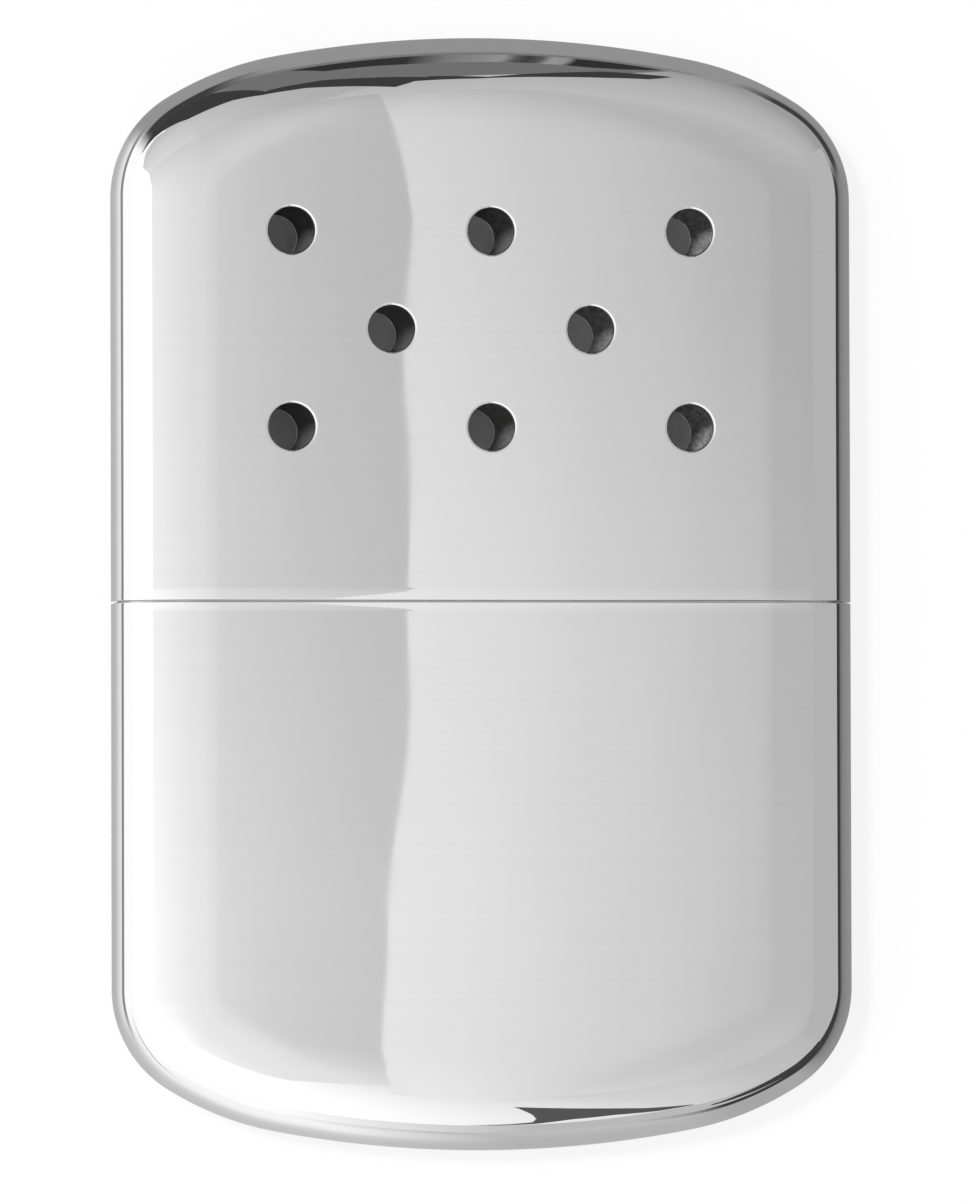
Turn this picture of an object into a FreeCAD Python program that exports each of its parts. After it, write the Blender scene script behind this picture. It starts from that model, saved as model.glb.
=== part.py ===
"""Refillable catalytic hand warmer: a drawn metal fuel tank, a press-on vented lid and a lift-off burner.

Millimetres. The warmer lies on its back: X runs across it, Y along it towards the lid, Z up through its
thickness. The origin is on the table, under the middle of the case.
"""

import FreeCAD
import Part

import math
import os

Vector = FreeCAD.Vector

# ---------------------------------------------------------------- driving dimensions
# case: lid and tank together
CASE_WIDTH = 66.4
CASE_LENGTH = 99.2
CASE_THICKNESS = 13.6
SHEET = 0.5  # drawn sheet of both shells
END_CROWN_RADIUS = 89.7  # shallow arc across each end
END_CORNER_RADIUS = 12.3  # arcs that join it to the straight sides
SIDE_FLAT = 1.8  # upright strip in the middle of the side, between the rolled edges
OUTSIDE_HALVINGS = 3  # fineness of the rolled edge's bands, outside and inside
INSIDE_HALVINGS = 2
SEAM_Y = -0.9  # the tank's rim
SEAM_GAP = 0.12
RIM_BREAK = 0.12  # eased outer edge of both rims

# vent holes through both faces of the lid, in rows of three, two and three
VENT_RADIUS = 2.05
VENT_PITCH_X = 17.85
VENT_PITCH_Y = 8.7
VENT_FIRST_ROW_ABOVE_SEAM = 15.5
VENT_COUNTS = (3, 2, 3)

# cup that closes the tank: its collar carries the lid and its well holds the burner's foot
CUP_SHEET = 0.45
CUP_CLEARANCE = 0.1  # to the tank below the seam and to the lid above it
COLLAR_HEIGHT = 5.0
COLLAR_LEAD_IN = 0.2
WELL_DEPTH = 2.5
CUP_BEND = 0.2  # width of the bend under the well's floor
SOLDER_LEG = 0.4  # both legs of the solder under the cup's edge

# filler neck: an obround tube with a flange under the well's floor
NECK_LENGTH = 23.0
NECK_SHEET = 0.5
NECK_RISE = 6.3  # above the well's floor
NECK_FLANGE = 1.2
NECK_HOLE_FIT = 0.05
NECK_SOLDER = 0.5

# absorbent filling
PAD_COUNT = 3
PAD_GAP = 0.1
PAD_CLEARANCE = 0.3  # to the tank's wall and to the neck's flange
FELT_CLEARANCE = 0.1
FELT_SUNK = 1.0  # below the neck's rim

# burner, from the neck outwards and upwards
SKIRT_CLEARANCE = 0.1  # to the neck, round it and over its rim
SKIRT_SHEET = 0.4
SKIRT_LIFT = 0.3  # foot above the well's floor
SHELF_WIDTH = 0.9
SKIRT_ABOVE_SHELF = 1.4
HOOD_SHEET = 0.4
HOOD_FIT = 0.03
HOOD_LAP = 3.4  # how far the hood sleeves down over the skirt
HOOD_BEND = 0.6  # width of the bend round the roof
HOOD_AIR_GAP = 1.27  # between the hood and the lid's face
SLOT_WIDTH = 2.0
SLOT_PITCH = 3.1
SLOT_ABOVE_SKIRT = 0.7
SLOT_BELOW_ROOF = 1.0
WINDOW_RIM = 2.4
WINDOW_BRIDGE = 2.2
GAUZE_THICKNESS = 0.35
GAUZE_OPENING = 1.7
GAUZE_BAR = 0.65
GAUZE_RIM = 0.8
GAUZE_FIT = 0.05
CATALYST_HEIGHT = 6.9
CATALYST_FIT = 0.1
CLOTH_THICKNESS = 1.1
CORE_FIT = 0.05
CORE_SUNK = 0.3  # short of the cloth's open ends

# ---------------------------------------------------------------- worked out from them
QUARTER = math.pi / 2
MID_Z = CASE_THICKNESS / 2
END_Y = CASE_LENGTH / 2
EDGE_ROLL_RADIUS = (CASE_THICKNESS - SIDE_FLAT) / 2

LID_RIM_Y = SEAM_Y + SEAM_GAP
COLLAR_TOP_Y = SEAM_Y + COLLAR_HEIGHT
WELL_FLOOR_Y = SEAM_Y - WELL_DEPTH
CUP_UNDER_Y = WELL_FLOOR_Y - CUP_SHEET
CUP_INSET = SHEET + CUP_CLEARANCE

HOOD_LENGTH = NECK_LENGTH + 2 * (SKIRT_CLEARANCE + SKIRT_SHEET + HOOD_FIT + HOOD_SHEET)
HOOD_WIDTH = CASE_THICKNESS - 2 * (SHEET + HOOD_AIR_GAP)
SKIRT_LENGTH = HOOD_LENGTH - 2 * (HOOD_FIT + HOOD_SHEET)
SKIRT_WIDTH = HOOD_WIDTH - 2 * (HOOD_FIT + HOOD_SHEET)
NECK_WIDTH = SKIRT_WIDTH - 2 * (SKIRT_CLEARANCE + SKIRT_SHEET)

NECK_TOP_Y = WELL_FLOOR_Y + NECK_RISE
FLANGE_UNDER_Y = CUP_UNDER_Y - NECK_SHEET
PAD_TOP_Y = FLANGE_UNDER_Y - PAD_CLEARANCE
SHELF_Y = NECK_TOP_Y + SKIRT_CLEARANCE
SUPPORT_GAUZE_Y = SHELF_Y + SKIRT_SHEET
CATALYST_Y = SUPPORT_GAUZE_Y + GAUZE_THICKNESS + GAUZE_FIT
COVER_GAUZE_Y = CATALYST_Y + CATALYST_HEIGHT + GAUZE_FIT
HOOD_ROOF_Y = COVER_GAUZE_Y + GAUZE_THICKNESS
SKIRT_TOP_Y = SUPPORT_GAUZE_Y + SKIRT_ABOVE_SHELF


# ---------------------------------------------------------------- outlines and solids they share
def heading(angle):
    """Unit vector at an angle from +Y towards +X."""
    return Vector(math.sin(angle), math.cos(angle), 0)


def end_arcs():
    """(centre, radius, first angle, last angle) of the three arcs of the lid's end, from left to right."""
    corner_start = math.asin((CASE_WIDTH / 2 - END_CORNER_RADIUS) / (END_CROWN_RADIUS - END_CORNER_RADIUS))
    crown = Vector(0, END_Y - END_CROWN_RADIUS, 0)
    right = crown + heading(corner_start) * (END_CROWN_RADIUS - END_CORNER_RADIUS)
    left = Vector(-right.x, right.y, 0)
    return [
        (left, END_CORNER_RADIUS, -QUARTER, -corner_start),
        (crown, END_CROWN_RADIUS, -corner_start, corner_start),
        (right, END_CORNER_RADIUS, corner_start, QUARTER),
    ]


def plan_prism(inset, foot_y, low_z, high_z):
    """Upright prism of the lid's plan outline, drawn in by inset, from foot_y to the rounded end."""
    edges = []
    for centre, radius, first, last in end_arcs():
        points = [centre + heading(a) * (radius - inset) for a in (first, (first + last) / 2, last)]
        edges.append(Part.Arc(*points).toShape())
    right = points[-1]
    left = Vector(-right.x, right.y, 0)
    edges += Part.makePolygon([right, Vector(right.x, foot_y, 0), Vector(left.x, foot_y, 0), left]).Edges
    prism = Part.Face(Part.Wire(edges)).extrude(Vector(0, 0, high_z - low_z))
    prism.translate(Vector(0, 0, low_z))
    return prism


def side_face(place, inset, halvings):
    """Section of the case's side, from the skin of that inset to where the rolls run into the faces.

    place(depth, z) gives the point at a depth in from the case's outline. Each roll is a run of bands
    that are tangent to its round: three halvings of the quarter turn leave bands of 11.25 degrees,
    which stand within 0.03 mm of it.
    """
    bands = 2**halvings
    step = QUARTER / bands
    reach = (EDGE_ROLL_RADIUS - inset) / math.cos(step / 2)
    points = [(EDGE_ROLL_RADIUS, MID_Z - inset)]
    for band in range(bands):
        angle = (band + 0.5) * step
        points.append((EDGE_ROLL_RADIUS - reach * math.sin(angle), SIDE_FLAT / 2 + reach * math.cos(angle)))
    upper = [place(depth, MID_Z + rise) for depth, rise in points]
    lower = [place(depth, MID_Z - rise) for depth, rise in reversed(points)]
    return Part.Face(Part.makePolygon(upper + lower + upper[:1]))


def flank_bars(inset, foot_y, top_y, halvings):
    """The two rolled sides between two heights along the case."""
    length = Vector(0, top_y - foot_y, 0)
    right = side_face(lambda depth, z: Vector(CASE_WIDTH / 2 - depth, foot_y, z), inset, halvings)
    left = side_face(lambda depth, z: Vector(depth - CASE_WIDTH / 2, foot_y, z), inset, halvings)
    return [right.extrude(length), left.extrude(length)]


def rounded_body(inset, foot_y, halvings):
    """Solid inside the lid's skin, drawn in by inset, from foot_y to its rounded end."""
    arcs = end_arcs()
    core = plan_prism(EDGE_ROLL_RADIUS, foot_y, inset, CASE_THICKNESS - inset)
    pieces = flank_bars(inset, foot_y, arcs[0][0].y, halvings)
    for centre, radius, first, last in arcs:

        def place(depth, z):
            return centre + heading(first) * (radius - depth) + Vector(0, 0, z)

        section = side_face(place, inset, halvings)
        pieces.append(section.revolve(centre, Vector(0, 0, -1), math.degrees(last - first)))
    return core.multiFuse(pieces).removeSplitter()


def straight_body(inset, foot_y, top_y):
    """Solid with the case's full cross-section, drawn in by inset, between two heights along it."""
    width = CASE_WIDTH - 2 * EDGE_ROLL_RADIUS
    corner = Vector(-width / 2, foot_y, inset)
    core = Part.makeBox(width, top_y - foot_y, CASE_THICKNESS - 2 * inset, corner)
    return core.multiFuse(flank_bars(inset, foot_y, top_y, INSIDE_HALVINGS)).removeSplitter()


def obround(length, width, foot_y, height):
    """Prism along Y with an obround section, centred in the case's thickness."""
    run = (length - width) / 2
    low, high = MID_Z - width / 2, MID_Z + width / 2
    edges = [
        Part.LineSegment(Vector(-run, foot_y, high), Vector(run, foot_y, high)),
        Part.Arc(Vector(run, foot_y, high), Vector(length / 2, foot_y, MID_Z), Vector(run, foot_y, low)),
        Part.LineSegment(Vector(run, foot_y, low), Vector(-run, foot_y, low)),
        Part.Arc(Vector(-run, foot_y, low), Vector(-length / 2, foot_y, MID_Z), Vector(-run, foot_y, high)),
    ]
    section = Part.Wire([edge.toShape() for edge in edges])
    return Part.Face(section).extrude(Vector(0, height, 0))


def obround_tube(length, width, wall, foot_y, height):
    """Obround tube, measured over its outside."""
    outside = obround(length, width, foot_y, height)
    return outside.cut(obround(length - 2 * wall, width - 2 * wall, foot_y, height))


def rim_edges(shape, y):
    """Outer edges of the shape's flat end at a height along it."""
    for face in shape.Faces:
        box = face.BoundBox
        if abs(box.YMin - y) < 1e-6 and abs(box.YMax - y) < 1e-6:
            return face.OuterWire.Edges
    raise ValueError(f"no flat end at y = {y}")


def turned_round(shape):
    """The shape turned to point at the tank's end."""
    shape.rotate(Vector(0, 0, 0), Vector(0, 0, 1), 180)
    return shape


# ---------------------------------------------------------------- case
def drawn_shell(rim_y):
    """Deep-drawn shell that opens at rim_y and closes at the rounded end."""
    outside = rounded_body(0, rim_y, OUTSIDE_HALVINGS)
    eased = outside.makeChamfer(RIM_BREAK, rim_edges(outside, rim_y))
    return eased.cut(rounded_body(SHEET, rim_y, INSIDE_HALVINGS))


def lid_shell():
    tools = []
    for row, count in enumerate(VENT_COUNTS):
        y = SEAM_Y + VENT_FIRST_ROW_ABOVE_SEAM + row * VENT_PITCH_Y
        for column in range(count):
            x = (column - (count - 1) / 2) * VENT_PITCH_X
            tools.append(Part.makeCylinder(VENT_RADIUS, CASE_THICKNESS, Vector(x, y, 0)))
    return drawn_shell(LID_RIM_Y).cut(Part.makeCompound(tools))


def tank_shell():
    return turned_round(drawn_shell(-SEAM_Y))


# ---------------------------------------------------------------- tank
def tank_top_cup():
    outside = straight_body(CUP_INSET, CUP_UNDER_Y, COLLAR_TOP_Y)
    outside = outside.makeChamfer(CUP_BEND, rim_edges(outside, CUP_UNDER_Y))
    outside = outside.makeChamfer(COLLAR_LEAD_IN, rim_edges(outside, COLLAR_TOP_Y))
    inside = straight_body(CUP_INSET + CUP_SHEET, WELL_FLOOR_Y, COLLAR_TOP_Y)
    hole = obround(NECK_LENGTH + 2 * NECK_HOLE_FIT, NECK_WIDTH + 2 * NECK_HOLE_FIT, CUP_UNDER_Y, CUP_SHEET)
    return outside.cut(inside).cut(hole)


def tank_solder_seam():
    """Bead of solder that seals the cup's edge to the tank's wall from below."""
    bead = straight_body(SHEET, CUP_UNDER_Y - SOLDER_LEG, CUP_UNDER_Y)
    return bead.cut(straight_body(SHEET + SOLDER_LEG, CUP_UNDER_Y - SOLDER_LEG, CUP_UNDER_Y))


def filler_neck():
    height = NECK_TOP_Y - FLANGE_UNDER_Y
    reach = 2 * NECK_FLANGE
    tube = obround_tube(NECK_LENGTH, NECK_WIDTH, NECK_SHEET, FLANGE_UNDER_Y, height)
    flange = obround_tube(NECK_LENGTH + reach, NECK_WIDTH + reach, NECK_FLANGE, FLANGE_UNDER_Y, NECK_SHEET)
    return tube.fuse(flange).removeSplitter()


def neck_solder_ring():
    length = NECK_LENGTH + 2 * (NECK_FLANGE + NECK_SOLDER)
    width = NECK_WIDTH + 2 * (NECK_FLANGE + NECK_SOLDER)
    return obround_tube(length, width, NECK_SOLDER, FLANGE_UNDER_Y, NECK_SHEET)


def wick_felt():
    """Felt plug that leads the fuel up from the filling to the neck's rim."""
    margin = 2 * (NECK_SHEET + FELT_CLEARANCE)
    height = NECK_TOP_Y - FELT_SUNK - PAD_TOP_Y
    return obround(NECK_LENGTH - margin, NECK_WIDTH - margin, PAD_TOP_Y, height)


def roll_depth(rise, inset):
    """How far in from the case's outline the skin of that inset stands, at a rise from mid thickness."""
    over = max(0, rise - SIDE_FLAT / 2)
    radius = EDGE_ROLL_RADIUS - inset
    return EDGE_ROLL_RADIUS - math.sqrt(radius**2 - over**2)


def filling_pads():
    """Layers of cotton wadding that lie on each other in the tank's thickness."""
    inset = SHEET + PAD_CLEARANCE
    room = CASE_THICKNESS - 2 * inset
    thickness = (room - 2 * SHEET - (PAD_COUNT - 1) * PAD_GAP) / PAD_COUNT
    pads = []
    for layer in range(PAD_COUNT):
        middle = MID_Z + (layer - (PAD_COUNT - 1) / 2) * (thickness + PAD_GAP)
        low, high = middle - thickness / 2, middle + thickness / 2
        depth = roll_depth(max(MID_Z - low, high - MID_Z), inset)
        pads.append(turned_round(plan_prism(depth, -PAD_TOP_Y, low, high)))
    return pads


# ---------------------------------------------------------------- burner
def burner_skirt():
    """Sleeve over the neck, with an inner shelf that rests over the neck's rim."""
    foot_y = WELL_FLOOR_Y + SKIRT_LIFT
    sleeve = obround_tube(SKIRT_LENGTH, SKIRT_WIDTH, SKIRT_SHEET, foot_y, SKIRT_TOP_Y - foot_y)
    shelf = obround_tube(SKIRT_LENGTH, SKIRT_WIDTH, SKIRT_SHEET + SHELF_WIDTH, SHELF_Y, SKIRT_SHEET)
    return sleeve.fuse(shelf).removeSplitter()


def gauze(foot_y):
    """Obround plate pierced by a square grid, whose edge stays whole."""
    margin = 2 * (SKIRT_SHEET + GAUZE_FIT)
    length, width = SKIRT_LENGTH - margin, SKIRT_WIDTH - margin
    pitch = GAUZE_OPENING + GAUZE_BAR
    reach = width / 2 - GAUZE_RIM
    run = (length - width) / 2
    columns = int((length - 2 * GAUZE_RIM + GAUZE_BAR) / pitch)
    rows = int((width - 2 * GAUZE_RIM + GAUZE_BAR) / pitch)
    openings = []
    for column in range(columns):
        for row in range(rows):
            x = (column - (columns - 1) / 2) * pitch
            z = (row - (rows - 1) / 2) * pitch
            past_run = max(0, abs(x) + GAUZE_OPENING / 2 - run)
            if math.hypot(past_run, abs(z) + GAUZE_OPENING / 2) < reach:
                corner = Vector(x - GAUZE_OPENING / 2, foot_y, MID_Z + z - GAUZE_OPENING / 2)
                openings.append(Part.makeBox(GAUZE_OPENING, GAUZE_THICKNESS, GAUZE_OPENING, corner))
    return obround(length, width, foot_y, GAUZE_THICKNESS).cut(Part.makeCompound(openings))


def catalyst_size():
    """Length and width of the catalyst, across the burner."""
    margin = 2 * (SKIRT_SHEET + CATALYST_FIT)
    return SKIRT_LENGTH - margin, SKIRT_WIDTH - margin


def cloth_cavity(fit):
    """The room inside the folded cloth, smaller by fit all round."""
    length, width = catalyst_size()
    inner = CLOTH_THICKNESS + fit
    corner = Vector(-length / 2, CATALYST_Y + inner, MID_Z - width / 2 + inner)
    return Part.makeBox(length, CATALYST_HEIGHT - 2 * inner, width - 2 * inner, corner)


def catalyst_cloth():
    """Glass cloth folded once round the core, open at both narrow ends."""
    length, width = catalyst_size()
    return obround(length, width, CATALYST_Y, CATALYST_HEIGHT).cut(cloth_cavity(0))


def catalyst_core():
    length, width = catalyst_size()
    inside = obround(length - 2 * CORE_SUNK, width - 2 * CORE_SUNK, CATALYST_Y, CATALYST_HEIGHT)
    return inside.common(cloth_cavity(CORE_FIT))


def side_slots():
    """Cutters for the hood's slots: a row through front and back, and one through both narrow ends."""
    foot_y = SKIRT_TOP_Y + SLOT_ABOVE_SKIRT
    height = HOOD_ROOF_Y - SLOT_BELOW_ROOF - foot_y
    count = int((HOOD_LENGTH - HOOD_WIDTH - SLOT_WIDTH) / SLOT_PITCH) + 1
    corner = Vector(-HOOD_LENGTH / 2, foot_y, MID_Z - SLOT_WIDTH / 2)
    cutters = [Part.makeBox(HOOD_LENGTH, height, SLOT_WIDTH, corner)]
    for index in range(count):
        x = (index - (count - 1) / 2) * SLOT_PITCH - SLOT_WIDTH / 2
        cutters.append(Part.makeBox(SLOT_WIDTH, height, CASE_THICKNESS, Vector(x, foot_y, 0)))
    return cutters


def roof_windows():
    length = (HOOD_LENGTH - 2 * WINDOW_RIM - WINDOW_BRIDGE) / 2
    windows = []
    for side in (-1, 1):
        window = obround(length, HOOD_WIDTH - 2 * WINDOW_RIM, HOOD_ROOF_Y, HOOD_SHEET)
        window.translate(Vector(side * (length + WINDOW_BRIDGE) / 2, 0, 0))
        windows.append(window)
    return windows


def burner_hood():
    """Pierced hood that sleeves over the skirt and holds the catalyst down."""
    foot_y = SKIRT_TOP_Y - HOOD_LAP
    top_y = HOOD_ROOF_Y + HOOD_SHEET
    walls = 2 * HOOD_SHEET
    outside = obround(HOOD_LENGTH, HOOD_WIDTH, foot_y, top_y - foot_y)
    outside = outside.makeChamfer(HOOD_BEND, rim_edges(outside, top_y))
    inside = obround(HOOD_LENGTH - walls, HOOD_WIDTH - walls, foot_y, HOOD_ROOF_Y - foot_y)
    return outside.cut(inside).cut(Part.makeCompound(side_slots() + roof_windows()))


# ---------------------------------------------------------------- export
def nodes():
    """Every sub-part, by the name of its node."""
    parts = {
        "lid_shell": lid_shell(),
        "tank_shell": tank_shell(),
        "tank_top_cup": tank_top_cup(),
        "tank_solder_seam": tank_solder_seam(),
        "filler_neck": filler_neck(),
        "neck_solder_ring": neck_solder_ring(),
        "wick_felt": wick_felt(),
        "burner_skirt": burner_skirt(),
        "burner_hood": burner_hood(),
        "support_gauze": gauze(SUPPORT_GAUZE_Y),
        "cover_gauze": gauze(COVER_GAUZE_Y),
        "catalyst_cloth": catalyst_cloth(),
        "catalyst_core": catalyst_core(),
    }
    for number, pad in enumerate(filling_pads(), 1):
        parts[f"filling_pad_{number}"] = pad
    return parts


os.makedirs("parts", exist_ok=True)
for name, shape in nodes().items():
    shape.exportStep(f"parts/{name}.step")
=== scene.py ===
"""Looks of the refillable catalytic hand warmer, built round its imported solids. Metres, in the CAD's frame."""

import math
import random

import bpy
from mathutils import Matrix, Vector, noise
from mathutils.geometry import delaunay_2d_cdt


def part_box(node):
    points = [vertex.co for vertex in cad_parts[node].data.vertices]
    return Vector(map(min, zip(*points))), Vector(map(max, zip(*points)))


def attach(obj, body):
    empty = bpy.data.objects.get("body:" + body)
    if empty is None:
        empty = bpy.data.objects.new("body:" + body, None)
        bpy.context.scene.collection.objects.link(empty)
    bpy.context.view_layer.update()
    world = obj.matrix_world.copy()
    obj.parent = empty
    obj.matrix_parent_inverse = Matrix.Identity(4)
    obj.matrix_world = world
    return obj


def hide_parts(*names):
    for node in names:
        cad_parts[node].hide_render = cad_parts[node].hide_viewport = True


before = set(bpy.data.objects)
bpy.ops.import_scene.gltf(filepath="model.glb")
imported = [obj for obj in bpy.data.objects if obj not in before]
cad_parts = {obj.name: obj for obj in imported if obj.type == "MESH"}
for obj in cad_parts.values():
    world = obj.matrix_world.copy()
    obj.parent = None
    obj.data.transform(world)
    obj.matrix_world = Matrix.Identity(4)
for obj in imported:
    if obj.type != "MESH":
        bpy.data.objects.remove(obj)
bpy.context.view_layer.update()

MM = 0.001
QUARTER = math.pi / 2
X, Y, Z = (Vector(axis) for axis in ((1, 0, 0), (0, 1, 0), (0, 0, 1)))

# ---- sizes read from the frame
def heights(node):
    """How far a node reaches along the case."""
    return [corner.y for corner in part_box(node)]


HALF_WIDTH, END_Y, top_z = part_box("lid_shell")[1]
MID_Z = top_z / 2
LID_RIM_Y, TANK_RIM_Y = heights("lid_shell")[0], heights("tank_shell")[1]
LIFT = Matrix.Translation((0, 0, MID_Z))  # pieces are worked out round the case's middle plane

# ---- sizes of the looks
SHEET = 0.5 * MM
END_RADII = (100 * MM, 28 * MM, 10.5 * MM)  # crown, shoulder and corner of each end
SHOULDER_END = math.radians(32.2)  # where the shoulder's arc gives way to the corner's
ROLL_DEPTH = 9 * MM  # how far in from the outline the rolled sides begin
ROLL_POWERS = (3.0, 2.35)  # of their section, across and upward: 2 is a round, more is squarer
ROLL_STEPS = 26
ROLL_CROWDING = 1.5  # above 1, the steps are closer together towards the faces
FLAT_HALF = HALF_WIDTH - ROLL_DEPTH  # half the width of the faces between the rolled sides
RIM_ROUND = 0.1 * MM
INNER_ROUND = 0.05 * MM  # the inner edges of the rims and vents
VENT_RADIUS = 2.05 * MM
VENT_ROUND = 0.26 * MM
VENT_PITCH_X = 17.85 * MM
VENTS = [
    Vector(((column - (count - 1) / 2) * VENT_PITCH_X, y * MM, 0))
    for y, count in ((14.6, 3), (23.3, 2), (32.0, 3))
    for column in range(count)
]
VENT_SIDES = 64
CROWN_ACROSS = 0.22 * MM  # how much thinner the case is at its long sides than in its middle
CROWN_ALONG = 0.2 * MM  # and at its ends
END_LEAN = 0.0024  # sideways lean of the faces at the ends
LID_RIM = (0.12, 1.1 * MM)  # inward lean of the faces at the open rim, and how far from it that runs out
TANK_RIM = (-0.16, 0.8 * MM)
FACE_STEP = 2 * MM
FACE_CLEAR = 0.8 * MM  # strip without points of the mesh beside the rolled sides and round the vents
NEAR_RIM = [part * MM for part in (0, 0.15, 0.3, 0.45, 0.6, 0.75, 0.9, 1.1)]  # rows of the mesh where the rims lean
OUTSIDE, INSIDE = 0, 1  # the two skins of a sheet, and a shell's finishes

# ---- camera
CAMERA_DISTANCE = 1.08
CAMERA_LEFT, CAMERA_BELOW, CAMERA_ROLL = (math.radians(angle) for angle in (8.1, 1.6, -0.15))
CAMERA_LENS = 362.6
CAMERA_AIM = Vector((0.3 * MM, -0.65 * MM, MID_Z))


def new_object(name, data):
    """An object in the scene that shows the data."""
    made = bpy.data.objects.new(name, data)
    bpy.context.scene.collection.objects.link(made)
    return made


def make_camera():
    level = math.cos(CAMERA_BELOW)
    back = Vector((-math.sin(CAMERA_LEFT) * level, -math.sin(CAMERA_BELOW), math.cos(CAMERA_LEFT) * level))
    right = Y.cross(back).normalized()
    turn = Matrix((right, back.cross(right), back)).transposed().to_4x4()
    data = bpy.data.cameras.new("camera")
    data.lens = CAMERA_LENS
    data.clip_start, data.clip_end = 0.05, 50
    camera = new_object("camera", data)
    place = Matrix.Translation(CAMERA_AIM + back * CAMERA_DISTANCE)
    camera.matrix_world = place @ turn @ Matrix.Rotation(CAMERA_ROLL, 4, "Z")
    bpy.context.scene.camera = camera


# ---- materials
class Nodes:
    """Short calls for the nodes of one material or world."""

    def __init__(self, owner):
        owner.use_nodes = True
        self.owner, self.tree = owner, owner.node_tree
        self.tree.nodes.clear()

    def add(self, kind, inputs, **settings):
        """Adds a node and returns its outputs. An input is a value, a socket, or None for its default."""
        node = self.tree.nodes.new("ShaderNode" + kind)
        for key, value in settings.items():
            setattr(node, key, value)
        for key, value in inputs.items():
            if isinstance(value, bpy.types.NodeSocket):
                self.tree.links.new(value, node.inputs[key])
            elif value is not None:
                node.inputs[key].default_value = value
        return node.outputs

    def math(self, operation, *values):
        return self.add("Math", dict(enumerate(values)), operation=operation)[0]

    def place(self, scale):
        """The point on the object, times a scale along each axis."""
        return self.add("Mapping", {"Vector": self.add("TexCoord", {})["Object"], "Scale": scale})[0]

    def axis(self, name):
        return self.add("SeparateXYZ", {"Vector": self.place((1, 1, 1))})[name]

    def noise(self, scale, detail, roughness=0.5, distortion=0.0):
        place = self.place(scale if isinstance(scale, tuple) else (scale,) * 3)
        inputs = {"Vector": place, "Scale": 1.0, "Detail": detail, "Roughness": roughness, "Distortion": distortion}
        return self.add("TexNoise", inputs)[0]

    def ramp(self, value, *limits):
        """Runs from 0 to 1, or between the last two limits, as a value goes from the first limit to the second."""
        return self.add("MapRange", dict(enumerate((value, *limits))))[0]

    def mix(self, value, low, high, first, second):
        """Goes from the first colour to the second as a value goes from low to high."""
        return self.add("Mix", {0: self.ramp(value, low, high), 6: first, 7: second}, data_type="RGBA")[2]

    def bump(self, height, distance, strength=1.0, normal=None):
        inputs = {"Height": height, "Distance": distance, "Strength": strength, "Normal": normal}
        return self.add("Bump", inputs)[0]

    def stepped(self, axis, steps):
        """Tones along an axis that run from one step (place, tone) to the next."""
        low, high = steps[0][0], steps[-1][0]
        tones = self.add("ValToRGB", {"Fac": self.ramp(self.axis(axis), low, high)})[0]
        stops = tones.node.color_ramp.elements
        while len(stops) < len(steps):
            stops.new(0.5)
        for stop, (place, tone) in zip(stops, steps):
            stop.position, stop.color = (place - low) / (high - low), grey(tone)
        return tones

    def crossed(self, axis, steps, other_axis, other_steps):
        """Tones along one axis, scaled along another."""
        inputs = {0: self.stepped(axis, steps), 1: self.stepped(other_axis, other_steps)}
        return self.add("VectorMath", inputs, operation="MULTIPLY")[0]

    def seen_by(self, first, *others):
        """1 where a ray of one of these kinds looks, and 0 for the rest."""
        path = self.add("LightPath", {})
        seen = path[f"Is {first} Ray"]
        for kind in others:
            seen = self.math("MAXIMUM", seen, path[f"Is {kind} Ray"])
        return seen

    def principled(self, colour, roughness, normal=None, metallic=0.0, sheen=0.0):
        """Ends the material in one shader and returns it."""
        inputs = {"Base Color": colour, "Metallic": metallic, "Roughness": roughness, "Normal": normal}
        shader = self.add("BsdfPrincipled", inputs | {"Sheen Weight": sheen})[0]
        self.add("OutputMaterial", {"Surface": shader})
        return self.owner


def material_nodes(name):
    return Nodes(bpy.data.materials.new(name))


def grey(value):
    return (value, value, value, 1.0)


def polished_chrome():
    """Mirror chrome with the faint lines and haze of its polishing."""
    nodes = material_nodes("polished_chrome")
    lines, haze = nodes.noise((12, 1500, 300), 3), nodes.noise((90, 160, 70), 4)
    colour = nodes.mix(lines, 0.35, 0.65, grey(0.925), grey(0.937))
    waves = nodes.bump(nodes.noise((60, 42, 60), 1), 0.02 * MM)
    return nodes.principled(colour, nodes.ramp(haze, 0.35, 0.75, 0.012, 0.022), waves, metallic=1.0)


def dull_inside():
    """Unpolished drawn sheet inside the shells, speckled, with painted shade: dark grey over the left and middle, pale
    towards the right-hand vents, broken by cloudy patches.
    """
    nodes = material_nodes("dull_inside")
    speckle = nodes.noise(2200, 5, roughness=0.7)
    clouds = nodes.ramp(nodes.noise(130, 3), 0.3, 0.7, -0.3, 0.3)
    # Painted shade: dark grey from the middle leftward, pale towards the right-hand vents, its edge broken by cloudy
    # patches.
    painted_shade_with_patches = nodes.math("ADD", nodes.ramp(nodes.axis("X"), 0.014, 0.001), clouds)
    bare_tone = nodes.mix(speckle, 0.4, 0.62, grey(0.5), grey(0.96))
    colour = nodes.mix(painted_shade_with_patches, 0, 1, bare_tone, grey(0.28))
    return nodes.principled(colour, 0.55, nodes.bump(speckle, 0.05 * MM, 0.6), metallic=0.1)


def metal(name, clouds, low, high, colours, roughness, marks=None):
    """Metal clouded between two colours and two roughnesses, with drawing marks at a scale."""
    nodes = material_nodes(name)
    clouds = nodes.noise(*clouds)
    normal = marks and nodes.bump(nodes.noise(marks, 3), 0.01 * MM, 0.35)
    colour = nodes.mix(clouds, low, high, *colours)
    return nodes.principled(colour, nodes.ramp(clouds, 0.3, 0.7, *roughness), normal, metallic=1.0)


def plated_steel():
    """Drawn and tin-plated sheet, satin, with a cloudy plating."""
    colours = (0.66, 0.65, 0.63, 1), (0.77, 0.76, 0.74, 1)
    return metal("plated_steel", (300, 4), 0.3, 0.7, colours, (0.24, 0.38), (4000, 500, 4000))


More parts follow.
